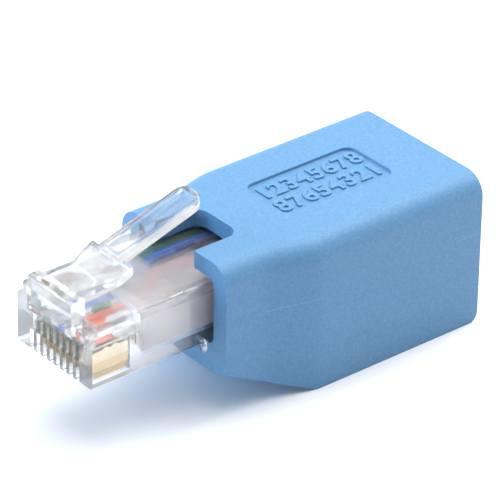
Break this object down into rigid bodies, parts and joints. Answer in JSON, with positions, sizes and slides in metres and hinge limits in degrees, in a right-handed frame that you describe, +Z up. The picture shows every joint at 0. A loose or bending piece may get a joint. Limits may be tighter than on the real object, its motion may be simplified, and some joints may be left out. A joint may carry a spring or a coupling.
{
  "type": "rollover adapter",
  "caption": "Short in-line network adapter: a clear modular plug with a spring latch at the front of a blue moulded housing, and a modular socket in its rear face.",
  "frame": {"origin": "middle of the underside of the bounding box, with the adapter lying flat on its housing and its latch up", "axes": "+Y along the adapter from the plug to the socket, +Z up, +X across"},
  "size_m": [0.019, 0.0462, 0.021],
  "materials": {
    "housing": "satin moulded vinyl with a fine grain",
    "clear": "clear polycarbonate",
    "trough": "milky translucent plastic",
    "gold": "gold plated, polished",
    "socket": "black moulded",
    "wire_brown": "insulation",
    "wire_green": "insulation",
    "wire_blue": "insulation",
    "wire_orange": "insulation",
    "wire_white": "insulation"
  },
  "bodies": {
    "adapter": {"housing": "housing", "plug_body": "clear", "inner_trough": "trough", "socket_insert": "socket", "plug_contact_1": "gold", "plug_contact_2": "gold", "plug_contact_3": "gold", "plug_contact_4": "gold", "plug_contact_5": "gold", "plug_contact_6": "gold", "plug_contact_7": "gold", "plug_contact_8": "gold", "socket_contact_1": "gold", "socket_contact_2": "gold", "socket_contact_3": "gold", "socket_contact_4": "gold", "socket_contact_5": "gold", "socket_contact_6": "gold", "socket_contact_7": "gold", "socket_contact_8": "gold", "wire_1": "wire_brown", "wire_2": "wire_white", "wire_3": "wire_green", "wire_4": "wire_white", "wire_5": "wire_blue", "wire_6": "wire_white", "wire_7": "wire_orange", "wire_8": "wire_white"},
    "latch": {"latch": "clear"}
  },
  "joints": [
    {"name": "latch_press", "type": "hinge", "parent": "adapter", "child": "latch", "pos_m": [0, -0.02105, 0.01575], "axis": [-1, 0, 0], "range_deg": [0, 17], "stiffness_Nm_per_rad": 0.1}
  ]
}
